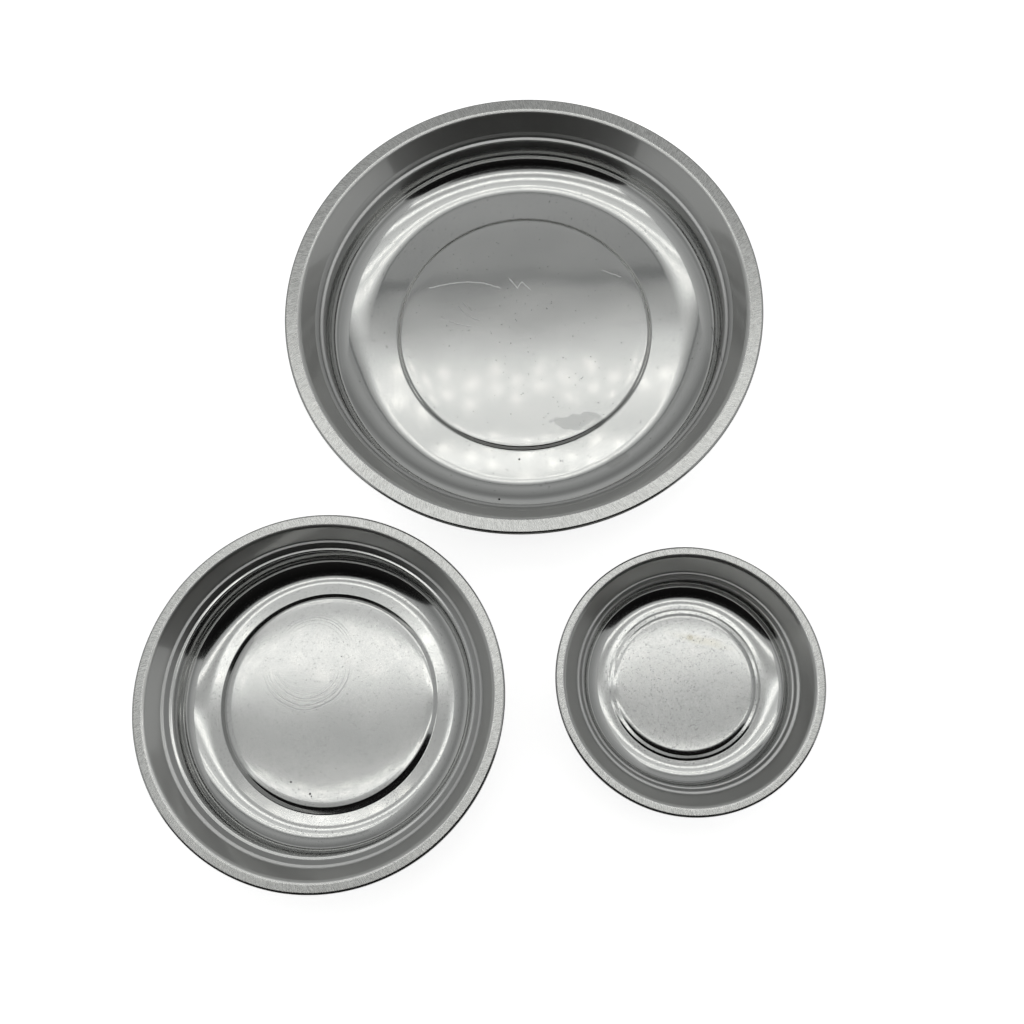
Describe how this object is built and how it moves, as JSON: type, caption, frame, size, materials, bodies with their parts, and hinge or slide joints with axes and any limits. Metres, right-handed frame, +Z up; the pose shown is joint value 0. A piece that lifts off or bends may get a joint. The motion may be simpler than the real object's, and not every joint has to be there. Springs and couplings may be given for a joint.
{
  "type": "magnetic parts dish set",
  "caption": "Round magnetic parts dishes in graded sizes, each a pressed stainless bowl glued over a ferrite ring magnet that stands in a black rubber boot.",
  "frame": {"origin": "axis of the large dish where it meets the bench: the underside of the large rubber boot is on z = 0", "axes": "+Z up, out of the open mouths of the dishes; +X from the medium dish towards the small dish; the two lesser dishes stand at -Y, in front of the large one"},
  "size_m": [0.1999, 0.2473, 0.0327],
  "materials": {
    "stainless": "satin",
    "zinc_plated_steel": "satin",
    "ferrite": "matte",
    "adhesive": "satin",
    "rubber": "matte"
  },
  "bodies": {
    "large": {"large_dish": "stainless", "large_plate_adhesive": "adhesive", "large_pole_plate": "zinc_plated_steel", "large_magnet_adhesive": "adhesive", "large_magnet": "ferrite", "large_boot": "rubber"},
    "medium": {"medium_dish": "stainless", "medium_plate_adhesive": "adhesive", "medium_pole_plate": "zinc_plated_steel", "medium_magnet_adhesive": "adhesive", "medium_magnet": "ferrite", "medium_boot": "rubber"},
    "small": {"small_dish": "stainless", "small_plate_adhesive": "adhesive", "small_pole_plate": "zinc_plated_steel", "small_magnet_adhesive": "adhesive", "small_magnet": "ferrite", "small_boot": "rubber"}
  },
  "joints": [
    {"name": "medium_lift", "type": "slide", "parent": "large", "child": "medium", "axis": [0, 0, 1], "range_m": [0, 0.06]},
    {"name": "small_lift", "type": "slide", "parent": "large", "child": "small", "axis": [0, 0, 1], "range_m": [0, 0.06]}
  ]
}
